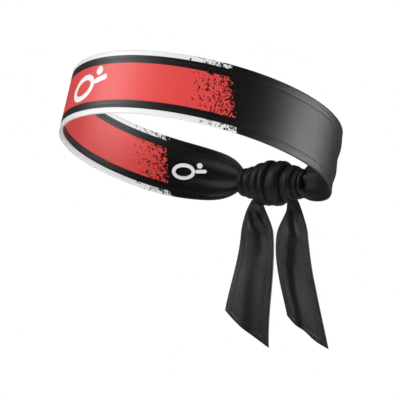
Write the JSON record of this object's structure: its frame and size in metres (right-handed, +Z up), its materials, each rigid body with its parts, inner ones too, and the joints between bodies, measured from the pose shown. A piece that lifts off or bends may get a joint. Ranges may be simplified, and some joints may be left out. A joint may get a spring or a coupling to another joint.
{
  "type": "tie headband",
  "caption": "Two-layer stretch headband for racket sports, tied in a barrel knot at the nape with two hanging fabric tails.",
  "frame": {"origin": "middle of the head opening, at half the band's height", "axes": "+Z up, opposite to gravity as worn; -Y the way the wearer faces; +X the wearer's left"},
  "size_m": [0.1806, 0.1979, 0.2027],
  "materials": {
    "printed_knit": "matte polyester and elastane knit with a sublimated print: red field, black and white stripes, fading to black",
    "black_satin_knit": "smooth black stretch knit with a soft satin sheen",
    "overlock_seam": "overlocked thread seam between the two layers",
    "sewing_thread": "matte polyester thread",
    "emblem_film": "heat-pressed white film"
  },
  "bodies": {
    "band": {"outer_panel": "printed_knit", "inner_panel": "printed_knit", "upper_edge_seam": "overlock_seam", "lower_edge_seam": "overlock_seam", "outer_upper_stitching": "sewing_thread", "outer_lower_stitching": "sewing_thread", "inner_upper_stitching": "sewing_thread", "inner_lower_stitching": "sewing_thread", "front_emblem": "emblem_film", "inner_emblem": "emblem_film", "knot_core": "black_satin_knit", "knot_turn_1": "black_satin_knit", "knot_turn_2": "black_satin_knit", "knot_turn_3": "black_satin_knit", "knot_turn_4": "black_satin_knit", "knot_turn_5": "black_satin_knit", "knot_turn_6": "black_satin_knit", "knot_turn_7": "black_satin_knit", "knot_turn_8": "black_satin_knit"},
    "left_neck": {"left_tail_neck": "black_satin_knit"},
    "left_tail": {"left_tail_outer_layer": "black_satin_knit", "left_tail_inner_layer": "black_satin_knit", "left_tail_edge_seam": "overlock_seam", "left_tail_outer_stitching": "sewing_thread", "left_tail_inner_stitching": "sewing_thread"},
    "right_neck": {"right_tail_neck": "black_satin_knit"},
    "right_tail": {"right_tail_outer_layer": "black_satin_knit", "right_tail_inner_layer": "black_satin_knit", "right_tail_edge_seam": "overlock_seam", "right_tail_outer_stitching": "sewing_thread", "right_tail_inner_stitching": "sewing_thread"}
  },
  "joints": [
    {"name": "left_tail_swing", "type": "hinge", "parent": "band", "child": "left_neck", "pos_m": [0.0182, 0.08588, -0.05174], "axis": [-0.0872, -0.9962, 0], "range_deg": [0, 35]},
    {"name": "left_tail_lift", "type": "hinge", "parent": "left_neck", "child": "left_tail", "pos_m": [0.0182, 0.08588, -0.06424], "axis": [0.9962, -0.0872, 0], "range_deg": [-20, 100]},
    {"name": "right_tail_swing", "type": "hinge", "parent": "band", "child": "right_neck", "pos_m": [-0.0118, 0.08588, -0.05286], "axis": [-0.0872, 0.9962, 0], "range_deg": [0, 35]},
    {"name": "right_tail_lift", "type": "hinge", "parent": "right_neck", "child": "right_tail", "pos_m": [-0.0118, 0.08588, -0.06536], "axis": [0.9962, 0.0872, 0], "range_deg": [-20, 100]}
  ]
}
